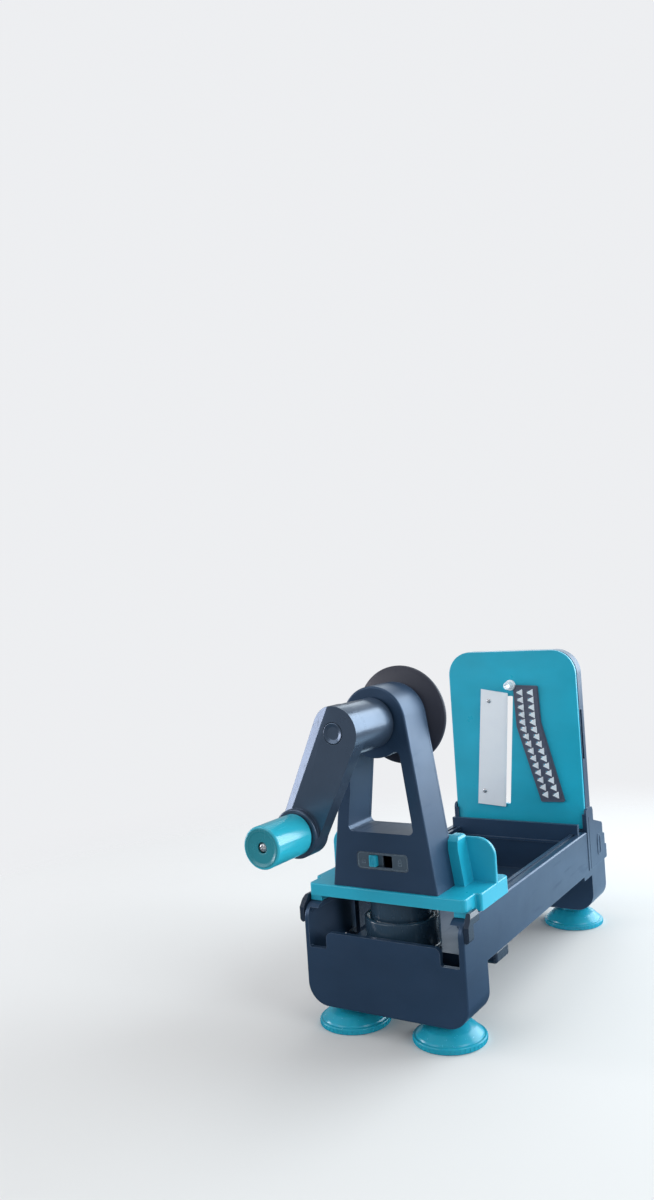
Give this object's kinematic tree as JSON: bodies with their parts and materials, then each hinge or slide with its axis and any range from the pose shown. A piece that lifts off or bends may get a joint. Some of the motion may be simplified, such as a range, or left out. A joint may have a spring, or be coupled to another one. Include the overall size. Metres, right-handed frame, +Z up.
{
  "type": "spiralizer with crank",
  "caption": "Hand cranked vegetable spiralizer: a sliding tray carries a tower with a crank and spiked disk towards an upright blade plate; suction feet.",
  "frame": {"origin": "on the table, under the middle of the whole outline with the crank at rest", "axes": "+Z up, +Y from the crank end towards the blade end, +X to the right of a person at the crank"},
  "size_m": [0.1484, 0.4428, 0.2836],
  "materials": {
    "slate_plastic": "satin moulded plastic",
    "hook_plastic": "satin moulded plastic",
    "hub_plastic": "glossy moulded plastic",
    "bezel_plastic": "satin moulded plastic",
    "disk_plastic": "matt moulded plastic",
    "crank_plastic": "pearly satin plastic",
    "turquoise_plastic": "satin moulded plastic",
    "grip_plastic": "polished moulded plastic",
    "cap_plastic": "satin moulded plastic",
    "foot_rubber": "soft semi-gloss rubber",
    "plain_steel": "turned steel",
    "blade_steel": "ground stainless steel",
    "strip_steel": "dark satin steel"
  },
  "bodies": {
    "base": {"base_housing": "slate_plastic", "hold_down_hook_left": "hook_plastic", "hold_down_hook_right": "hook_plastic", "suction_foot_front_left": "foot_rubber", "suction_foot_front_right": "foot_rubber", "suction_foot_rear_left": "foot_rubber", "suction_foot_rear_right": "foot_rubber"},
    "carriage": {"carriage_tray": "turquoise_plastic", "guide_shoe_left": "hook_plastic", "guide_shoe_right": "hook_plastic", "clamp_hub": "hub_plastic", "clamp_bolt": "plain_steel", "tower_shell": "slate_plastic", "tower_cover": "slate_plastic", "tower_screws": "plain_steel", "front_bushing": "hub_plastic", "rear_bushing": "hub_plastic", "lock_bezel": "bezel_plastic"},
    "lock": {"lock_knob": "turquoise_plastic", "lock_plate": "bezel_plastic"},
    "crank": {"crank_arm": "crank_plastic", "crank_hub": "crank_plastic", "crank_shaft": "plain_steel", "shaft_cap": "crank_plastic", "grip_spindle": "plain_steel", "grip_washer": "plain_steel", "grip_screw": "plain_steel", "holder_disk": "disk_plastic", "holder_studs": "disk_plastic", "centre_pin": "disk_plastic"},
    "grip": {"grip_sleeve": "grip_plastic", "grip_end_cap": "cap_plastic"},
    "end_frame": {"end_frame": "slate_plastic"},
    "blade_plate": {"blade_plate": "turquoise_plastic", "flat_blade": "blade_steel", "blade_rivets": "plain_steel", "julienne_base": "strip_steel", "julienne_teeth": "blade_steel", "coring_tube": "blade_steel"}
  },
  "joints": [
    {"name": "carriage_slide", "type": "slide", "parent": "base", "child": "carriage", "axis": [0, 1, 0], "range_m": [0, 0.182]},
    {"name": "lock_slide", "type": "slide", "parent": "carriage", "child": "lock", "axis": [1, 0, 0], "range_m": [0, 0.0132]},
    {"name": "crank_turn", "type": "hinge", "parent": "carriage", "child": "crank", "pos_m": [0, -0.0966, 0.2436], "axis": [0, 1, 0], "continuous": true},
    {"name": "grip_spin", "type": "hinge", "parent": "crank", "child": "grip", "pos_m": [-0.03612, -0.1996, 0.16887], "axis": [0, 1, 0], "continuous": true},
    {"name": "end_frame_lift", "type": "slide", "parent": "base", "child": "end_frame", "axis": [0, 0, 1], "range_m": [0, 0.08]},
    {"name": "blade_plate_lift", "type": "slide", "parent": "end_frame", "child": "blade_plate", "axis": [0, 0, 1], "range_m": [0, 0.18]}
  ]
}
